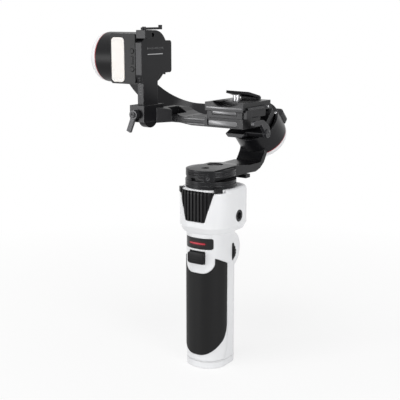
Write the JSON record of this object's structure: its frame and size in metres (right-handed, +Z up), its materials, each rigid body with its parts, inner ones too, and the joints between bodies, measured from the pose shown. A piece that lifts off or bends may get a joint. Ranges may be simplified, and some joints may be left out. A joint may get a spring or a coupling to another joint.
{
  "type": "camera gimbal stabilizer",
  "caption": "Handheld camera gimbal stabilizer: white grip handle, pan, sloped roll and tilt motors, fill light, sliding arms, quick-release camera platform with levers",
  "frame": {"origin": "mouth of the tripod thread, in the middle of the handle's flat base", "axes": "+Z up along the handle, +Y back from the trigger side to the control panel side, +X to the side with the wheel and the side thread"},
  "size_m": [0.1629, 0.134, 0.3008],
  "materials": {
    "white_shell": "satin moulded",
    "grip_rubber": "matte",
    "black_plastic": "fine matte",
    "black_alloy": "satin anodised",
    "steel": "turned",
    "brass": "turned",
    "copper_winding": "enamelled",
    "red_trim": "gloss",
    "light_diffuser": "frosted",
    "board_green": "lacquered",
    "cell_wrap": "wrapped",
    "lever_alloy": "cast"
  },
  "bodies": {
    "handle": {"handle_shell": "white_shell", "grip": "grip_rubber", "base_cap": "white_shell", "tripod_insert": "brass", "battery_cell": "cell_wrap", "main_board": "board_green", "rear_panel": "black_plastic", "status_panel": "black_plastic", "status_light": "red_trim", "trigger_pin": "steel", "wheel_axle": "steel", "upper_housing": "white_shell", "front_grille": "black_plastic", "side_insert": "brass", "pan_stator": "copper_winding", "pan_bearing": "steel"},
    "trigger_part": {"trigger": "black_plastic"},
    "wheel_part": {"control_wheel": "grip_rubber"},
    "joystick_part": {"joystick": "black_plastic"},
    "record_part": {"record_button": "red_trim"},
    "power_part": {"power_button": "black_plastic"},
    "mode_part": {"mode_button": "black_plastic"},
    "pan_latch": {"pan_lock_latch": "black_plastic"},
    "pan_turn": {"pan_rotor": "black_alloy", "pan_magnet_ring": "steel"},
    "pan_carriage": {"pan_arm": "black_alloy", "roll_case": "black_alloy", "roll_red_ring": "red_trim", "roll_back_cover": "white_shell", "roll_stator": "copper_winding", "roll_bearing": "steel"},
    "pan_lever": {"pan_slide_lever": "black_alloy"},
    "roll_latch": {"roll_lock_latch": "black_plastic"},
    "roll_turn": {"roll_rotor": "black_alloy", "roll_magnet_ring": "steel"},
    "roll_lever": {"roll_slide_lever": "lever_alloy"},
    "roll_carriage": {"roll_arm": "black_alloy", "tilt_case": "black_plastic", "tilt_red_ring": "red_trim", "tilt_end_cover": "white_shell", "tilt_stator": "copper_winding", "tilt_bearing": "steel", "light_panel": "light_diffuser", "light_indicator": "black_plastic"},
    "light_up_part": {"light_button_up": "black_plastic"},
    "light_down_part": {"light_button_down": "black_plastic"},
    "tilt_turn": {"tilt_rotor": "black_alloy", "tilt_magnet_ring": "steel", "tilt_plate": "black_alloy", "tilt_lock_block": "black_alloy"},
    "tilt_lever": {"tilt_lock_lever": "black_alloy"},
    "platform": {"platform_clamp": "black_alloy", "platform_arm": "black_alloy", "qr_base": "black_alloy"},
    "platform_lever": {"clamp_lever": "lever_alloy"},
    "quick_lever": {"qr_lever": "lever_alloy"},
    "quick_plate": {"qr_plate": "black_alloy", "lens_stop": "black_plastic"},
    "screw_part": {"camera_screw": "steel"}
  },
  "joints": [
    {"name": "pan_turn", "type": "hinge", "parent": "handle", "child": "pan_turn", "pos_m": [0, 0, 0.1633], "axis": [0, 0, 1], "continuous": true},
    {"name": "pan_balance", "type": "slide", "parent": "pan_turn", "child": "pan_carriage", "axis": [0, 1, 0], "range_m": [-0.008, 0.008]},
    {"name": "pan_balance_lever", "type": "hinge", "parent": "pan_carriage", "child": "pan_lever", "pos_m": [0, 0.0365, 0.166], "axis": [0, 0, 1], "range_deg": [0, 50]},
    {"name": "pan_lock", "type": "slide", "parent": "handle", "child": "pan_latch", "axis": [0.6691, 0.7431, 0], "range_m": [0, 0.003]},
    {"name": "roll_turn", "type": "hinge", "parent": "pan_carriage", "child": "roll_turn", "pos_m": [0, 0.071, 0.215], "axis": [0, -0.7071, 0.7071], "range_deg": [-150, 45]},
    {"name": "roll_balance", "type": "slide", "parent": "roll_turn", "child": "roll_carriage", "axis": [1, 0, 0], "range_m": [-0.006, 0.003]},
    {"name": "roll_balance_lever", "type": "hinge", "parent": "roll_turn", "child": "roll_lever", "pos_m": [0.0273, 0.047, 0.206], "axis": [1, 0, 0], "range_deg": [0, 40]},
    {"name": "roll_lock", "type": "slide", "parent": "pan_carriage", "child": "roll_latch", "axis": [1, 0, 0], "range_m": [0, 0.003]},
    {"name": "tilt_turn", "type": "hinge", "parent": "roll_carriage", "child": "tilt_turn", "pos_m": [-0.076, 0.015, 0.271], "axis": [1, 0, 0], "range_deg": [-120, 45]},
    {"name": "tilt_lock_lever", "type": "hinge", "parent": "tilt_turn", "child": "tilt_lever", "pos_m": [-0.07, -0.003, 0.2968], "axis": [0, 0, 1], "range_deg": [-40, 0]},
    {"name": "platform_height", "type": "slide", "parent": "tilt_turn", "child": "platform", "axis": [0, 0, 1], "range_m": [0, 0.0075]},
    {"name": "platform_lever", "type": "hinge", "parent": "platform", "child": "platform_lever", "pos_m": [-0.0725, -0.0127, 0.222], "axis": [0, 1, 0], "range_deg": [-30, 60]},
    {"name": "plate_slide", "type": "slide", "parent": "platform", "child": "quick_plate", "axis": [0, 1, 0], "range_m": [-0.009, 0.001]},
    {"name": "quick_lever", "type": "hinge", "parent": "platform", "child": "quick_lever", "pos_m": [0.0212, 0.027, 0.228], "axis": [0, 0, 1], "range_deg": [-25, 0]},
    {"name": "camera_screw_turn", "type": "hinge", "parent": "quick_plate", "child": "screw_part", "pos_m": [0, 0.041, 0.226], "axis": [0, 0, 1], "continuous": true},
    {"name": "trigger_press", "type": "hinge", "parent": "handle", "child": "trigger_part", "pos_m": [0, -0.016, 0.1055], "axis": [1, 0, 0], "range_deg": [0, 6.5], "stiffness_Nm_per_rad": 0.05},
    {"name": "wheel_turn", "type": "hinge", "parent": "handle", "child": "wheel_part", "pos_m": [0.0102, 0.0075, 0.104], "axis": [0, 1, 0], "continuous": true},
    {"name": "joystick_rock", "type": "hinge", "parent": "handle", "child": "joystick_part", "pos_m": [0, 0.0198, 0.11], "axis": [1, 0, 0], "range_deg": [-10, 10], "stiffness_Nm_per_rad": 0.02},
    {"name": "record_press", "type": "slide", "parent": "handle", "child": "record_part", "axis": [0, -1, 0], "range_m": [0, 0.0008], "stiffness_N_per_m": 400},
    {"name": "power_press", "type": "slide", "parent": "handle", "child": "power_part", "axis": [0, -1, 0], "range_m": [0, 0.0008], "stiffness_N_per_m": 400},
    {"name": "mode_press", "type": "slide", "parent": "handle", "child": "mode_part", "axis": [0, -1, 0], "range_m": [0, 0.0008], "stiffness_N_per_m": 400},
    {"name": "light_up_press", "type": "slide", "parent": "roll_carriage", "child": "light_up_part", "axis": [0, 1, 0], "range_m": [0, 0.0008], "stiffness_N_per_m": 400},
    {"name": "light_down_press", "type": "slide", "parent": "roll_carriage", "child": "light_down_part", "axis": [0, 1, 0], "range_m": [0, 0.0008], "stiffness_N_per_m": 400}
  ]
}
